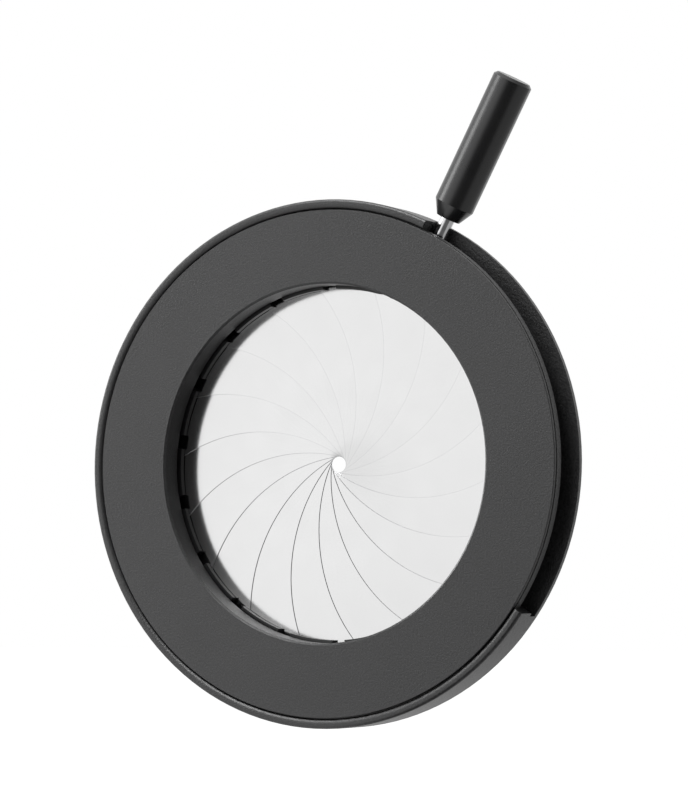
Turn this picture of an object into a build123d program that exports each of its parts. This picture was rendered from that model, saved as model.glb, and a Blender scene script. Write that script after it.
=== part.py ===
from build123d import *
import math
import os

# Iris diaphragm, millimetres. The optical axis is Y and the front faces -Y. The origin is on the
# axis in the plane of the rear face; +Z is up. "depth" is measured from the front face to the rear.

# ---- driving dimensions ----
THICK = 5.0            # front face to rear face
R_BODY = 26.5          # outside of the housing
R_BORE = 18.0          # clear bore of the front plate and of the rear wall
LEVER_REST = 28.05     # lever, degrees clockwise from straight up, iris closed
LEVER_TRAVEL = 93.3    # lever turn from closed to fully open

R_RECESS = 25.5        # seat of the front plate in the rim
D_SHOULDER = 1.45      # depth of the shoulder the front plate rests on
R_RING_BORE = 23.95    # chamber of the actuator ring
D_RING_LEDGE = 3.43    # ledge behind the actuator ring
R_CHAMBER = 23.6       # chamber of the blades
D_FLOOR = 4.5          # inner face of the rear wall
D_EDGE = 4.25          # end of the full diameter; a lead-in chamfer follows
RIM_IN, RIM_OUT = 0.5, 0.3    # rounding of the rim's inner and outer edges
BORE_CHAMFER = 0.2     # edges of the clear bore, front and rear

SLOT_BEFORE, SLOT_AFTER = 2.05, 3.15   # slot beyond the lever's middle, closed and open, degrees
SLOT_HIGH = 90 - LEVER_REST + SLOT_BEFORE                 # ends of the slot, degrees up from +X
SLOT_LOW = 90 - LEVER_REST - LEVER_TRAVEL - SLOT_AFTER
D_SLOT = 3.67          # floor of the lever slot
D_RELIEF = 2.49        # the slot is a little longer below this depth
RELIEF = 0.75          # extra degrees of slot there, each end

D_COLLAR = 2.5         # depth of the front plate's collar
R_COLLAR = 19.2
COLLAR_CHAMFER = 0.15
PLATE_EDGE = 0.06      # gap round the plate's front edge, and the chamfer there

R_RING_IN = 17.7       # actuator ring
R_RING_STEP = 22.5
R_RING_OUT = 23.9
D_RING_RIM = 1.5
D_RING_FRONT = 2.8
D_RING_REAR = 3.4
RING_SLOT = 1.45       # width of the drive slots
R_RING_SLOT = 21.55    # centre of their round outer ends

BLADES = 18
STEP = 360.0 / BLADES
BLADE_PHASE = -22.9    # direction of the first blade's arc centre, degrees up from +X
R_EDGE = 17.5          # blade's inner edge: the full opening
R_HOLE = 0.8           # smallest opening
C_OFF = R_EDGE - R_HOLE       # from the axis to the arc centre, iris closed
R_PINS = 21.5          # pivot and drive pins from the axis, iris closed
BLADE_TIP = 1.3        # blade beyond its pins
BLADE_CORNER = 1.25    # rounding of its four corners
BLADE_T = 0.035        # blade thickness
D_BLADES = 3.95        # mean depth of the blade stack
LIFT_AXIS = 0.065      # rise from one blade to the next, about the optical axis
LIFT_ARC = 0.03        # and about the blade's own arc centre
DRIVE_ANGLE = 66.5     # drive pin, degrees from the arc centre's direction
SLOT_ANGLE = 65.54     # drive slot, likewise
R_PIVOT, R_PIVOT_HOLE = 0.4, 0.43
R_DRIVE = 0.35
PIVOT_SHORT = 0.1      # the pivot pin ends this far inside the rear face
DRIVE_SHORT = 0.05     # and the drive pin this far inside the ring's face
PIN_PROUD = 0.008      # a pin's root reaches this far past the middle of its blade
SHEET_ROWS, SHEET_COLUMNS = 9, 121   # points that carry the twisted sheet
SHEET_HALF = 76.0      # half of its angle about the arc centre
SHEET_EVEN = 0.35      # share of its columns that is evenly spaced; the rest crowds to the opening

STUD_D = 2.6           # depth of the lever's axis
R_STUD, R_STUD_END = 0.75, 0.6
STUD_FROM, STUD_TO = 22.6, 35.4
R_KNOB = 2.03
KNOB_FROM, KNOB_TO = 27.38, 42.72
KNOB_CONE, KNOB_CONE_IN = 1.45, 0.8
KNOB_CHAMFER = 0.3
STUD_CHAMFER, STUD_END_CHAMFER = 0.2, 0.1
PAST = 1.0             # how far a cutter runs past what it cuts


def at(depth):
    """Y of a depth behind the front face."""
    return depth - THICK


def turned(points, arc=360.0):
    """Solid turned about the optical axis from (radius, depth) points, from +X towards -Z."""
    pts = [(r, at(d)) for r, d in points]
    face = make_face(Polyline(*pts, close=True))
    return revolve(face, Axis.Y, revolution_arc=arc)


def to_angle(shape, degrees):
    """Turn what was built on +X to an angle up from +X."""
    return Rot(0, -degrees, 0) * shape


def round_bar(radius, d0, d1):
    """Cylinder along Y between two depths, on the axis."""
    return Pos(0, at(d0), 0) * extrude(Plane.XZ * Circle(radius), -(d1 - d0))


def polar(radius, degrees):
    """Point (x, z) at a radius and an angle up from +X."""
    a = math.radians(degrees)
    return radius * math.cos(a), radius * math.sin(a)


# ---- housing ----
half_way = 1 - math.sin(math.radians(45))     # of a quarter round, in each direction
profile = [
    Line((R_BORE, at(THICK - BORE_CHAMFER)), (R_BORE, at(D_FLOOR))),
    Line((R_BORE, at(D_FLOOR)), (R_CHAMBER, at(D_FLOOR))),
    Line((R_CHAMBER, at(D_FLOOR)), (R_CHAMBER, at(D_RING_LEDGE))),
    Line((R_CHAMBER, at(D_RING_LEDGE)), (R_RING_BORE, at(D_RING_LEDGE))),
    Line((R_RING_BORE, at(D_RING_LEDGE)), (R_RING_BORE, at(D_SHOULDER))),
    Line((R_RING_BORE, at(D_SHOULDER)), (R_RECESS, at(D_SHOULDER))),
    Line((R_RECESS, at(D_SHOULDER)), (R_RECESS, at(RIM_IN))),
    ThreePointArc((R_RECESS, at(RIM_IN)),
                  (R_RECESS + RIM_IN * half_way, at(RIM_IN * half_way)),
                  (R_RECESS + RIM_IN, at(0))),
    Line((R_RECESS + RIM_IN, at(0)), (R_BODY - RIM_OUT, at(0))),
    ThreePointArc((R_BODY - RIM_OUT, at(0)),
                  (R_BODY - RIM_OUT * half_way, at(RIM_OUT * half_way)),
                  (R_BODY, at(RIM_OUT))),
    Line((R_BODY, at(RIM_OUT)), (R_BODY, at(D_EDGE))),
    Line((R_BODY, at(D_EDGE)), (R_BODY - (THICK - D_EDGE), at(THICK))),
    Line((R_BODY - (THICK - D_EDGE), at(THICK)), (R_BORE + BORE_CHAMFER, at(THICK))),
    Line((R_BORE + BORE_CHAMFER, at(THICK)), (R_BORE, at(THICK - BORE_CHAMFER))),
]
housing = revolve(make_face(Curve() + profile), Axis.Y)

# the lever slot runs out through the front of the rim, beside the edge of the front plate
for start, widen in ((-PAST, 0), (D_RELIEF, RELIEF)):
    slot = turned([(R_CHAMBER, start), (R_BODY + PAST, start), (R_BODY + PAST, D_SLOT),
                   (R_CHAMBER, D_SLOT)], SLOT_HIGH - SLOT_LOW + 2 * widen)
    housing -= to_angle(slot, SLOT_HIGH + widen)

pivot_dir = math.degrees(math.acos(C_OFF / 2 / R_PINS))
pivot_hole = Pos(R_PINS, 0, 0) * round_bar(R_PIVOT_HOLE, D_FLOOR - PAST, THICK + PAST)
for i in range(BLADES):
    housing -= to_angle(pivot_hole, BLADE_PHASE + i * STEP + pivot_dir)

# ---- front plate ----
R_PLATE = R_RECESS - PLATE_EDGE
front_plate = turned([
    (R_BORE + BORE_CHAMFER, 0), (R_PLATE - PLATE_EDGE, 0), (R_PLATE, PLATE_EDGE),
    (R_PLATE, RIM_IN), (R_RECESS, RIM_IN), (R_RECESS, D_SHOULDER), (R_COLLAR, D_SHOULDER),
    (R_COLLAR, D_COLLAR - COLLAR_CHAMFER), (R_COLLAR - COLLAR_CHAMFER, D_COLLAR),
    (R_BORE, D_COLLAR), (R_BORE, BORE_CHAMFER)])

# ---- actuator ring ----
actuator_ring = turned([
    (R_RING_IN, D_RING_FRONT), (R_RING_STEP, D_RING_FRONT), (R_RING_STEP, D_RING_RIM),
    (R_RING_OUT, D_RING_RIM), (R_RING_OUT, D_RING_REAR), (R_RING_IN, D_RING_REAR)])
run = R_RING_SLOT - R_RING_IN + PAST       # straight part of a drive slot, open to the bore
deep = D_RING_REAR - D_RING_FRONT + PAST
drive_slot = Pos(R_RING_SLOT, 0, 0) * round_bar(
    RING_SLOT / 2, D_RING_FRONT - PAST / 2, D_RING_REAR + PAST / 2)
drive_slot += Pos(R_RING_SLOT - run / 2, at((D_RING_FRONT + D_RING_REAR) / 2), 0) * Box(
    run, deep, RING_SLOT)
for i in range(BLADES):
    actuator_ring -= to_angle(drive_slot, BLADE_PHASE + i * STEP - SLOT_ANGLE)

# ---- lever: a stud screwed into the ring, with a turned knob ----
def along_lever(points):
    """Turned piece on the lever's axis from (radius, distance from the optical axis) points."""
    face = make_face(Polyline(*points, close=True))
    piece = revolve(Plane.XZ * face, Axis.Z)
    return Rot(0, LEVER_REST, 0) * (Pos(0, at(STUD_D), 0) * piece)


lever_stud = along_lever([
    (0, STUD_FROM), (R_STUD_END - STUD_END_CHAMFER, STUD_FROM),
    (R_STUD_END, STUD_FROM + STUD_END_CHAMFER), (R_STUD_END, R_RING_OUT), (R_STUD, R_RING_OUT),
    (R_STUD, STUD_TO - STUD_CHAMFER), (R_STUD - STUD_CHAMFER, STUD_TO), (0, STUD_TO)])
lever_knob = along_lever([
    (0, STUD_TO), (R_STUD - STUD_CHAMFER, STUD_TO), (R_STUD, STUD_TO - STUD_CHAMFER),
    (R_STUD, KNOB_FROM),
    (R_KNOB - KNOB_CONE_IN, KNOB_FROM), (R_KNOB, KNOB_FROM + KNOB_CONE),
    (R_KNOB, KNOB_TO - KNOB_CHAMFER), (R_KNOB - KNOB_CHAMFER, KNOB_TO), (0, KNOB_TO)])
tapped_hole = along_lever([
    (0, R_RING_STEP - PAST), (R_STUD_END, R_RING_STEP - PAST),
    (R_STUD_END, R_RING_OUT + PAST / 2), (0, R_RING_OUT + PAST / 2)])
actuator_ring -= tapped_hole

# ---- blades ----
# A blade is a crescent about C, which lies C_OFF from the axis on +X when the iris is closed.
# It twists like a staircase, so that each blade passes over one neighbour and under the other.
PIVOT = polar(R_PINS, pivot_dir)
DRIVE = polar(R_PINS, -DRIVE_ANGLE)


def turn_from_minus_x(x, z):
    """Angle of a direction from -X, between -180 and 180 degrees."""
    return (360 - math.degrees(math.atan2(z, x))) % 360 - 180


def rise(x, z):
    """Depth of a blade's middle surface over the point (x, z)."""
    axis_turn = turn_from_minus_x(x, z)
    arc_turn = turn_from_minus_x(x - C_OFF, z)
    return D_BLADES + (LIFT_AXIS * axis_turn + LIFT_ARC * arc_turn) / STEP


def from_arc(radius, degrees):
    """Point at a radius and an angle about the blade's arc centre."""
    x, z = polar(radius, degrees)
    return C_OFF + x, z


tip = math.degrees(BLADE_TIP / R_PINS)
a_pivot = math.degrees(math.atan2(PIVOT[1], PIVOT[0] - C_OFF)) - tip
a_drive = math.degrees(math.atan2(DRIVE[1], DRIVE[0] - C_OFF)) % 360 + tip
r_out = R_PINS + BLADE_TIP

outline = [
    ThreePointArc(from_arc(R_EDGE, a_pivot), from_arc(R_EDGE, 180), from_arc(R_EDGE, a_drive)),
    Line(from_arc(R_EDGE, a_drive), from_arc(r_out, a_drive)),
    ThreePointArc(from_arc(r_out, a_drive), from_arc(r_out, 180), from_arc(r_out, a_pivot)),
    Line(from_arc(r_out, a_pivot), from_arc(R_EDGE, a_pivot)),
]
flat = make_face(Curve() + outline)
flat = fillet(flat.vertices(), BLADE_CORNER)
flat -= Pos(*PIVOT) * Circle(R_PIVOT)
flat -= Pos(*DRIVE) * Circle(R_DRIVE)
# Plane.XZ has its x along +X and its y along +Z, and its normal along -Y
prism = extrude(Pos(0, at(D_BLADES) + 1.5 * PAST, 0) * (Plane.XZ * flat), 3 * PAST)

# the sheet is a little wider than the crescent all round, which then trims it
sheet_in, sheet_out = R_EDGE - 0.2, r_out + 0.4
grid = []
for j in range(SHEET_ROWS):
    radius = sheet_in + (sheet_out - sheet_in) * j / (SHEET_ROWS - 1)
    row = []
    for k in range(SHEET_COLUMNS):
        u = 2 * k / (SHEET_COLUMNS - 1) - 1
        turn = SHEET_HALF * (SHEET_EVEN * u + (1 - SHEET_EVEN) * u ** 3)
        x, z = from_arc(radius, 180 - turn)
        row.append(Vector(x, at(rise(x, z) - BLADE_T / 2), z))
    grid.append(row)
sheet = Face.make_surface_from_array_of_points(grid, tol=1e-4, max_deg=3)
blade = extrude(sheet, BLADE_T, dir=(0, 1, 0)) & prism

pivot_pin = Pos(PIVOT[0], 0, PIVOT[1]) * round_bar(
    R_PIVOT, rise(*PIVOT) - PIN_PROUD, THICK - PIVOT_SHORT)
drive_pin = Pos(DRIVE[0], 0, DRIVE[1]) * round_bar(
    R_DRIVE, D_RING_FRONT + DRIVE_SHORT, rise(*DRIVE) + PIN_PROUD)
pins = pivot_pin + drive_pin

# ---- one file for each piece ----
nodes = {
    "housing": housing, "front_plate": front_plate, "actuator_ring": actuator_ring,
    "lever_stud": lever_stud, "lever_knob": lever_knob,
}
for i in range(BLADES):
    nodes[f"blade_{i + 1:02d}"] = to_angle(blade, BLADE_PHASE + i * STEP)
    nodes[f"blade_{i + 1:02d}_pins"] = to_angle(pins, BLADE_PHASE + i * STEP)

os.makedirs("parts", exist_ok=True)
for name, shape in nodes.items():
    export_step(shape, f"parts/{name}.step")
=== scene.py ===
import math
import bpy
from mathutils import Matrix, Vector


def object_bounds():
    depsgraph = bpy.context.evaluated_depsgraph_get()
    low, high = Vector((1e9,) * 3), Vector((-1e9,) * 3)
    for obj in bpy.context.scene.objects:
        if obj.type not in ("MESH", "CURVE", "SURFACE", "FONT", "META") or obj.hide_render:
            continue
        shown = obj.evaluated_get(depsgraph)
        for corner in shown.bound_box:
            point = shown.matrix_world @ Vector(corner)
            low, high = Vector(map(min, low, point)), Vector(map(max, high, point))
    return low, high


# Iris diaphragm. Blender works in metres; sizes here are named in millimetres and turned with MM.
MM = 0.001

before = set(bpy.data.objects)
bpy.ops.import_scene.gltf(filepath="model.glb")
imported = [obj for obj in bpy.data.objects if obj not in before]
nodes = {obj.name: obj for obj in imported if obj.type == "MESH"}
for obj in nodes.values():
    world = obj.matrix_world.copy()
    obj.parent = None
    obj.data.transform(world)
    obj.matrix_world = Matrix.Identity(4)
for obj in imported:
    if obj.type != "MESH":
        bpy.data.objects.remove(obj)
cad_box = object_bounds()

# ---- sizes of the object ----
THICK = 5.0                # the front face lies this far in front of the origin
BLADES = 18
BLADE_STEP = 360.0 / BLADES
BLADE_PHASE = -22.9        # direction of the first blade's arc centre, degrees up from +X
ARC_OFFSET = 16.7          # the arc centres from the optical axis
EDGE_RADIUS = 17.5         # inner edge of a blade, about its arc centre
LEVER_ANGLE = 28.05        # the lever at rest, degrees clockwise from straight up, seen from the front
STUD_DEPTH = 2.6           # depth of the lever's axis behind the front face

# ---- patterns of the finishes ----
OXIDE_IOR = 1.7            # the clear skin of anodised aluminium
WAVE_LENGTH = 2 * math.pi / 20   # a wave texture of scale 1 repeats in this length
FEED_PITCH = 0.754         # the tool's marks are about 0.1 mm apart, too fine to show: drawn coarser
WHEEL_PITCH = 0.9425       # the wheel's marks, drawn coarser for the same reason
DYE_CLOUD = 12.0           # the dye takes a little unevenly over several millimetres
WEAR_CLOUD = 2.5           # handling dulls the knob in patches of this size
ROLLING_LINES = 0.16       # the widest of them, across the strip
ROLLING_STRETCH = 0.06     # their width over their length
SHEET_CLOUD = 6.0          # slow changes of tone over the sheet
EDGE_DULL_AND_SHADE_FROM, EDGE_DULL_AND_SHADE_TO = 0.002, 0.03   # how far in from the stamped edge it is rolled over and duller, and darkened with painted shade
WIRE_STREAK = 0.1          # the die's streaks, across the wire
WIRE_STRETCH = 0.1         # their width over their length
PAPER_FIBRE = 1.5          # fibres are finer: these are the clumps of them that show

# ---- the view ----
VIEW_AZIMUTH, VIEW_ELEVATION = 27.064, -3.462
VIEW_DISTANCE = 346.83     # from the middle of the front face
VIEW_RIGHT, VIEW_UP = 2.308, 6.298
LENS, SENSOR = 156.15, 36.0

# ---- floor and light ----
FLOOR_GAP = 18.0           # floor below the lowest point
FLOOR_SIDE = 4000.0
FLOOR_LIFT = 0.75          # what the camera sees added to the lit paper near the object
LIFT_FROM, LIFT_TO = 300.0, 1300.0   # distances between which that grows to full white
FLOOR_MIRRORED = 0.9       # the paper, as it shows in what mirrors it
AMBIENT = 0.12             # the light that the room itself gives
# unlit and dim parts of the studio, as the object mirrors them: azimuth and elevation of the middle,
# the angles from it at which the light starts to fall and has fallen, and the level that is left
UNLIT = (
    {"azimuth": 32.0, "elevation": 10.0, "outer": 48.0, "inner": 24.0, "left": 0.12},    # in front
    {"azimuth": 100.0, "elevation": 10.0, "outer": 63.0, "inner": 38.0, "left": 0.45},   # at the right
)


def towards(azimuth, elevation):
    """Unit vector at these degrees: azimuth 0 is straight out of the front face, 90 is at the right."""
    azimuth, elevation = math.radians(azimuth), math.radians(elevation)
    return Vector((math.sin(azimuth) * math.cos(elevation), -math.cos(azimuth) * math.cos(elevation),
                   math.sin(elevation)))


# ---------------------------------------------------------------- materials

def linear(hex_colour):
    """sRGB hex to the linear colour that a socket takes."""
    out = []
    for i in (1, 3, 5):
        c = int(hex_colour[i:i + 2], 16) / 255
        out.append(c / 12.92 if c <= 0.04045 else ((c + 0.055) / 1.055) ** 2.4)
    return (*out, 1.0)


def add(owner, kind, settings=None, **links):
    """One node: settings are properties, socket values or a ramp's two stops, and links are sockets
    fed from other outputs, by name or, as in _0, by number."""
    tree = owner.node_tree
    node = tree.nodes.new(kind)
    for key, value in (settings or {}).items():
        if key == "stops":
            for end, (position, hex_colour) in zip(node.color_ramp.elements, value):
                end.position, end.color = position, linear(hex_colour)
        elif isinstance(key, int) or key in node.inputs:
            node.inputs[key].default_value = value
        else:
            setattr(node, key, value)
    for key, output in links.items():
        socket = int(key[1:]) if key[0] == "_" else key.replace("_", " ")
        tree.links.new(output, node.inputs[socket])
    return node


def new_material(name):
    material = bpy.data.materials.new(name)
    material.use_nodes = True
    material.node_tree.nodes.clear()
    return material


def blasted_anodise(name, dark, light, roughness, grit, depth):
    """Black dyed anodise over bead-blasted aluminium: nearly black under a clear oxide skin, which
    lies grey over it where it mirrors something white."""
    black = new_material(name)
    place = add(black, "ShaderNodeTexCoord").outputs["Object"]
    # blasting leaves dimples about a grit across
    pebble = add(black, "ShaderNodeTexNoise", {"Scale": 1 / (grit * MM), "Detail": 3.0, "Roughness": 0.6},
                 Vector=place)
    cloud = add(black, "ShaderNodeTexNoise", {"Scale": 1 / (DYE_CLOUD * MM), "Detail": 2.0}, Vector=place)
    # the pebble with a quarter of the cloud
    both = add(black, "ShaderNodeMath", {"operation": "MULTIPLY_ADD", 1: 0.25},
               _0=cloud.outputs["Fac"], _2=pebble.outputs["Fac"])
    colour = add(black, "ShaderNodeValToRGB", {"stops": ((0.4, dark), (0.85, light))}, _0=both.outputs[0])
    dull = add(black, "ShaderNodeMapRange", {"To Min": roughness - 0.05, "To Max": roughness + 0.05},
               Value=pebble.outputs["Fac"])
    bump = add(black, "ShaderNodeBump", {"Strength": 0.8, "Distance": depth * MM},
               Height=pebble.outputs["Fac"])
    skin = add(black, "ShaderNodeBsdfPrincipled", {"Metallic": 0.0, "IOR": OXIDE_IOR},
               Base_Color=colour.outputs[0], Roughness=dull.outputs[0], Normal=bump.outputs[0])
    add(black, "ShaderNodeOutputMaterial", Surface=skin.outputs[0])
    return black


def lever_place(finish):
    """Object coordinates moved and turned so that Z runs along the middle of the lever."""
    place = add(finish, "ShaderNodeTexCoord").outputs["Object"]
    return add(finish, "ShaderNodeMapping", {"vector_type": "POINT",
                                             "Location": (0, (THICK - STUD_DEPTH) * MM, 0),
                                             "Rotation": (0, -math.radians(LEVER_ANGLE), 0)},
               Vector=place).outputs[0]


def turned_anodise():
    """Black anodise on a turned aluminium bar: satin, with the tool's feed marks round it."""
    black = new_material("black_anodise_turned")
    along = lever_place(black)
    feed = add(black, "ShaderNodeTexWave",
               {"wave_type": "BANDS", "bands_direction": "Z", "Scale": WAVE_LENGTH / (FEED_PITCH * MM),
                "Distortion": 0.4}, Vector=along)
    wear = add(black, "ShaderNodeTexNoise", {"Scale": 1 / (WEAR_CLOUD * MM), "Detail": 4.0}, Vector=along)
    colour = add(black, "ShaderNodeValToRGB", {"stops": ((0.3, "#0c0c0d"), (0.75, "#121214"))},
                 _0=wear.outputs["Fac"])
    dull = add(black, "ShaderNodeMapRange", {"To Min": 0.24, "To Max": 0.34}, Value=wear.outputs["Fac"])
    bump = add(black, "ShaderNodeBump", {"Strength": 0.12, "Distance": 0.004 * MM},
               Height=feed.outputs["Fac"])
    skin = add(black, "ShaderNodeBsdfPrincipled", {"Metallic": 0.0, "IOR": OXIDE_IOR},
               Base_Color=colour.outputs[0], Roughness=dull.outputs[0], Normal=bump.outputs[0])
    add(black, "ShaderNodeOutputMaterial", Surface=skin.outputs[0])
    return black


def polished_steel():
    """Ground and polished steel: a mirror with faint rings left by the wheel."""
    steel = new_material("polished_steel")
    along = lever_place(steel)
    rings = add(steel, "ShaderNodeTexWave",
                {"wave_type": "BANDS", "bands_direction": "Z", "Scale": WAVE_LENGTH / (WHEEL_PITCH * MM),
                 "Distortion": 1.0}, Vector=along)
    dull = add(steel, "ShaderNodeMapRange", {"To Min": 0.12, "To Max": 0.2}, Value=rings.outputs["Fac"])
    tint = add(steel, "ShaderNodeMix", {"data_type": "RGBA", 6: linear("#e6e6e7"), 7: linear("#eeeeef")},
               _0=rings.outputs["Fac"])
    metal = add(steel, "ShaderNodeBsdfPrincipled", {"Metallic": 1.0},
                Base_Color=tint.outputs[2], Roughness=dull.outputs[0])
    add(steel, "ShaderNodeOutputMaterial", Surface=metal.outputs[0])
    return steel


def spring_steel(number):
    """Satin rolled spring steel: rolling lines straight along the strip that the blade was stamped
    from, a duller edge where the die rolled it over, and painted shade darkening that edge as a shadow
    line."""
    angle = math.radians(BLADE_PHASE + (number - 1) * BLADE_STEP)
    centre = Vector((ARC_OFFSET * math.cos(angle), 0, ARC_OFFSET * math.sin(angle))) * MM
    steel = new_material(f"satin_spring_steel_{number:02d}")
    place = add(steel, "ShaderNodeTexCoord").outputs["Object"]
    # from the blade's own arc centre, with X pointing away from the optical axis
    strip = add(steel, "ShaderNodeMapping", {"vector_type": "TEXTURE", "Location": centre,
                                             "Rotation": (0, -angle, 0)}, Vector=place).outputs[0]
    drawn = add(steel, "ShaderNodeVectorMath", {"operation": "MULTIPLY", 1: (1.0, 1.0, ROLLING_STRETCH)},
                _0=strip)
    grain = add(steel, "ShaderNodeTexNoise", {"Scale": 1 / (ROLLING_LINES * MM), "Detail": 3.0},
                Vector=drawn.outputs[0])
    cloud = add(steel, "ShaderNodeTexNoise", {"Scale": 1 / (SHEET_CLOUD * MM), "Detail": 2.0}, Vector=strip)
    # 0 at the stamped edge, 1 on the face: the edge band is duller and takes painted shade
    flat = add(steel, "ShaderNodeVectorMath", {"operation": "MULTIPLY", 1: (1.0, 0.0, 1.0)}, _0=strip)
    radius = add(steel, "ShaderNodeVectorMath", {"operation": "LENGTH"}, _0=flat.outputs[0])
    off_dull_shaded_edge = add(steel, "ShaderNodeMapRange", {"From Min": (EDGE_RADIUS + EDGE_DULL_AND_SHADE_FROM) * MM,
                                               "From Max": (EDGE_RADIUS + EDGE_DULL_AND_SHADE_TO) * MM},
                 Value=radius.outputs["Value"])
    # the cloud with half of the grain
    tone = add(steel, "ShaderNodeMath", {"operation": "MULTIPLY_ADD", 1: 0.5},
               _0=grain.outputs["Fac"], _2=cloud.outputs["Fac"])
    face = add(steel, "ShaderNodeValToRGB", {"stops": ((0.5, "#e9e9e9"), (1.0, "#eeeeee"))},
               _0=tone.outputs[0])
    # painted shade: the edge band is mixed down to #c6c6c8, standing in for the shadowed line where one
    # blade lies over the next
    colour = add(steel, "ShaderNodeMix", {"data_type": "RGBA", 6: linear("#c6c6c8")},
                 _0=off_dull_shaded_edge.outputs[0], _7=face.outputs[0])
    satin = add(steel, "ShaderNodeMapRange", {"To Min": 0.1, "To Max": 0.16}, Value=grain.outputs["Fac"])
    dull = add(steel, "ShaderNodeMix", {"data_type": "FLOAT", 2: 0.28},
               _0=off_dull_shaded_edge.outputs[0], _3=satin.outputs[0])
    bump = add(steel, "ShaderNodeBump", {"Strength": 0.1, "Distance": 0.002 * MM},
               Height=grain.outputs["Fac"])
    metal = add(steel, "ShaderNodeBsdfPrincipled", {"Metallic": 1.0},
                Base_Color=colour.outputs[2], Roughness=dull.outputs[0], Normal=bump.outputs[0])
    add(steel, "ShaderNodeOutputMaterial", Surface=metal.outputs[0])
    return steel


def drawn_wire():
    """Bright steel wire, faintly streaked along its length by the die it was drawn through."""
    steel = new_material("drawn_steel_wire")
    place = add(steel, "ShaderNodeTexCoord").outputs["Object"]
    drawn = add(steel, "ShaderNodeVectorMath", {"operation": "MULTIPLY", 1: (1.0, WIRE_STRETCH, 1.0)},
                _0=place)
    streak = add(steel, "ShaderNodeTexNoise", {"Scale": 1 / (WIRE_STREAK * MM)}, Vector=drawn.outputs[0])
    tint = add(steel, "ShaderNodeMix", {"data_type": "RGBA", 6: linear("#b4b4b6"), 7: linear("#cdcdcf")},
               _0=streak.outputs["Fac"])
    dull = add(steel, "ShaderNodeMapRange", {"To Min": 0.25, "To Max": 0.4}, Value=streak.outputs["Fac"])
    metal = add(steel, "ShaderNodeBsdfPrincipled", {"Metallic": 1.0},
                Base_Color=tint.outputs[2], Roughness=dull.outputs[0])
    add(steel, "ShaderNodeOutputMaterial", Surface=metal.outputs[0])
    return steel


def studio_level(owner, direction):
    """1 all round, and less towards the unlit parts of the studio, as mirrored in the object."""
    level = None
    for part in UNLIT:
        near = add(owner, "ShaderNodeVectorMath",
                   {"operation": "DOT_PRODUCT", 1: towards(part["azimuth"], part["elevation"])},
                   _0=direction)
        fall = add(owner, "ShaderNodeMapRange",
                   {"interpolation_type": "SMOOTHSTEP", "From Min": math.cos(math.radians(part["outer"])),
                    "From Max": math.cos(math.radians(part["inner"])), "To Min": 1.0,
                    "To Max": part["left"]}, Value=near.outputs["Value"]).outputs[0]
        level = fall if level is None else add(owner, "ShaderNodeMath", {"operation": "MINIMUM"},
                                               _0=level, _1=fall).outputs[0]
    return level


def white_paper():
    """White paper sweep: lit paper with the shadow on it, lifted to white for the camera. What
    mirrors in the object is the same paper at one plain level, but for the unlit parts."""
    white = new_material("white_paper")
    place = add(white, "ShaderNodeTexCoord").outputs["Object"]
    fibre = add(white, "ShaderNodeTexNoise", {"Scale": 1 / (PAPER_FIBRE * MM), "Detail": 2.0}, Vector=place)
    tint = add(white, "ShaderNodeMix", {"data_type": "RGBA", 6: linear("#f0f0f0"), 7: linear("#f8f8f8")},
               _0=fibre.outputs["Fac"])
    paper = add(white, "ShaderNodeBsdfDiffuse", Color=tint.outputs[2])
    ray = add(white, "ShaderNodeLightPath")
    # the lamps light it near the object; far off it goes to full white, with no horizon
    away = add(white, "ShaderNodeVectorMath", {"operation": "LENGTH"}, _0=place)
    level = add(white, "ShaderNodeMapRange", {"From Min": LIFT_FROM * MM, "From Max": LIFT_TO * MM,
                                              "To Min": FLOOR_LIFT, "To Max": 1.0},
                Value=away.outputs["Value"])
    lift = add(white, "ShaderNodeMath", {"operation": "MULTIPLY"},
               _0=ray.outputs["Is Camera Ray"], _1=level.outputs[0])
    glow = add(white, "ShaderNodeEmission", Strength=lift.outputs[0])
    lit = add(white, "ShaderNodeAddShader", _0=paper.outputs[0], _1=glow.outputs[0])
    outwards = add(white, "ShaderNodeVectorMath", {"operation": "NORMALIZE"}, _0=place)
    plain = add(white, "ShaderNodeMath", {"operation": "MULTIPLY", 1: FLOOR_MIRRORED},
                _0=studio_level(white, outwards.outputs[0]))
    mirrored = add(white, "ShaderNodeEmission", Strength=plain.outputs[0])
    either = add(white, "ShaderNodeMixShader", _0=ray.outputs["Is Glossy Ray"],
                 _1=lit.outputs[0], _2=mirrored.outputs[0])
    add(white, "ShaderNodeOutputMaterial", Surface=either.outputs[0])
    return white


def dress(name, material):
    """The CAD node keeps its shape and takes this finish."""
    piece = nodes[name]
    for slot in piece.material_slots:
        slot.material = material
    if not piece.material_slots:
        piece.data.materials.append(material)


case = blasted_anodise("black_anodise_blasted", dark="#0b0b0c", light="#2a2a2b", roughness=0.4,
                       grit=0.2, depth=0.05)
# painted shade: the ring's lighter stop is kept far darker than the housing's, for the shaded slot it is
# seen through; its finer, shallower blasting is its own finish
ring_black_painted_shade = blasted_anodise("black_anodise_plain_painted_shade", dark="#0c0c0d", light="#161617", roughness=0.36,
                             grit=0.15, depth=0.01)
dress("housing", case)
dress("front_plate", case)
dress("actuator_ring", ring_black_painted_shade)
dress("lever_knob", turned_anodise())
dress("lever_stud", polished_steel())
wire = drawn_wire()
for number in range(1, BLADES + 1):
    dress(f"blade_{number:02d}", spring_steel(number))
    dress(f"blade_{number:02d}_pins", wire)


# ---------------------------------------------------------------- floor, light, camera

def make_floor():
    bpy.ops.object.select_all(action="DESELECT")
    bpy.ops.mesh.primitive_grid_add(x_subdivisions=4, y_subdivisions=4, size=FLOOR_SIDE * MM,
                                    location=(0, 0, cad_box[0][2] - FLOOR_GAP * MM))
    floor = bpy.context.object
    floor.name = "floor"
    floor.data.materials.append(white_paper())


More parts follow.
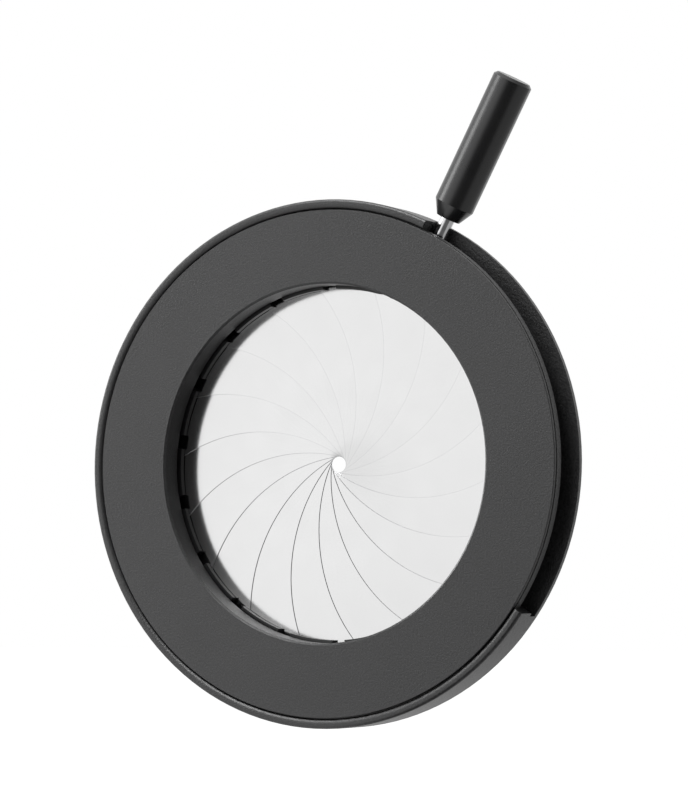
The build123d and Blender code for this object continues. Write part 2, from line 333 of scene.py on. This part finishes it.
def make_world():
    """White to the camera, white in reflections but for the unlit parts, grey in the light it gives."""
    world = bpy.data.worlds.new("studio")
    bpy.context.scene.world = world
    world.use_nodes = True
    world.node_tree.nodes.clear()
    ray = add(world, "ShaderNodeLightPath")
    room = studio_level(world, add(world, "ShaderNodeTexCoord").outputs["Generated"])
    mirrored = add(world, "ShaderNodeMath", {"operation": "MULTIPLY"},
                   _0=ray.outputs["Is Glossy Ray"], _1=room)
    seen = add(world, "ShaderNodeMath", {"operation": "MAXIMUM"},
               _0=ray.outputs["Is Camera Ray"], _1=mirrored.outputs[0])
    clear = add(world, "ShaderNodeMath", {"operation": "MAXIMUM"},
                _0=seen.outputs[0], _1=ray.outputs["Is Transmission Ray"])
    level = add(world, "ShaderNodeMath", {"operation": "MAXIMUM", 1: AMBIENT}, _0=clear.outputs[0])
    sky = add(world, "ShaderNodeBackground", {"Color": (1, 1, 1, 1)}, Strength=level.outputs[0])
    add(world, "ShaderNodeOutputWorld", Surface=sky.outputs[0])


def softbox(name, place, side, watts):
    """Square lamp at a place in millimetres, aimed at the object."""
    bpy.ops.object.light_add(type="AREA", location=Vector(place) * MM)
    lamp = bpy.context.object
    lamp.name = name
    lamp.data.energy = watts
    lamp.data.size = side * MM
    lamp.rotation_euler = (-Vector(place)).to_track_quat("-Z", "Y").to_euler()


def make_camera():
    back = towards(VIEW_AZIMUTH, VIEW_ELEVATION)
    right = towards(VIEW_AZIMUTH + 90, 0)
    up = back.cross(right)
    place = Vector((0, -THICK, 0)) + VIEW_DISTANCE * back + VIEW_RIGHT * right + VIEW_UP * up
    bpy.ops.object.camera_add(location=place * MM)
    camera = bpy.context.object
    camera.data.lens = LENS
    camera.data.sensor_width = SENSOR
    camera.data.clip_start, camera.data.clip_end = 0.01, 20.0
    camera.rotation_euler = back.to_track_quat("Z", "Y").to_euler()
    bpy.context.scene.camera = camera


make_floor()
make_world()
# no lamp stands where the flat steel would mirror it to the camera
softbox("key_top", place=(-120, -400, 600), side=340, watts=3.7)
softbox("left", place=(-640, -300, 200), side=300, watts=1.15)
make_camera()
bpy.context.scene.view_settings.view_transform = "Standard"
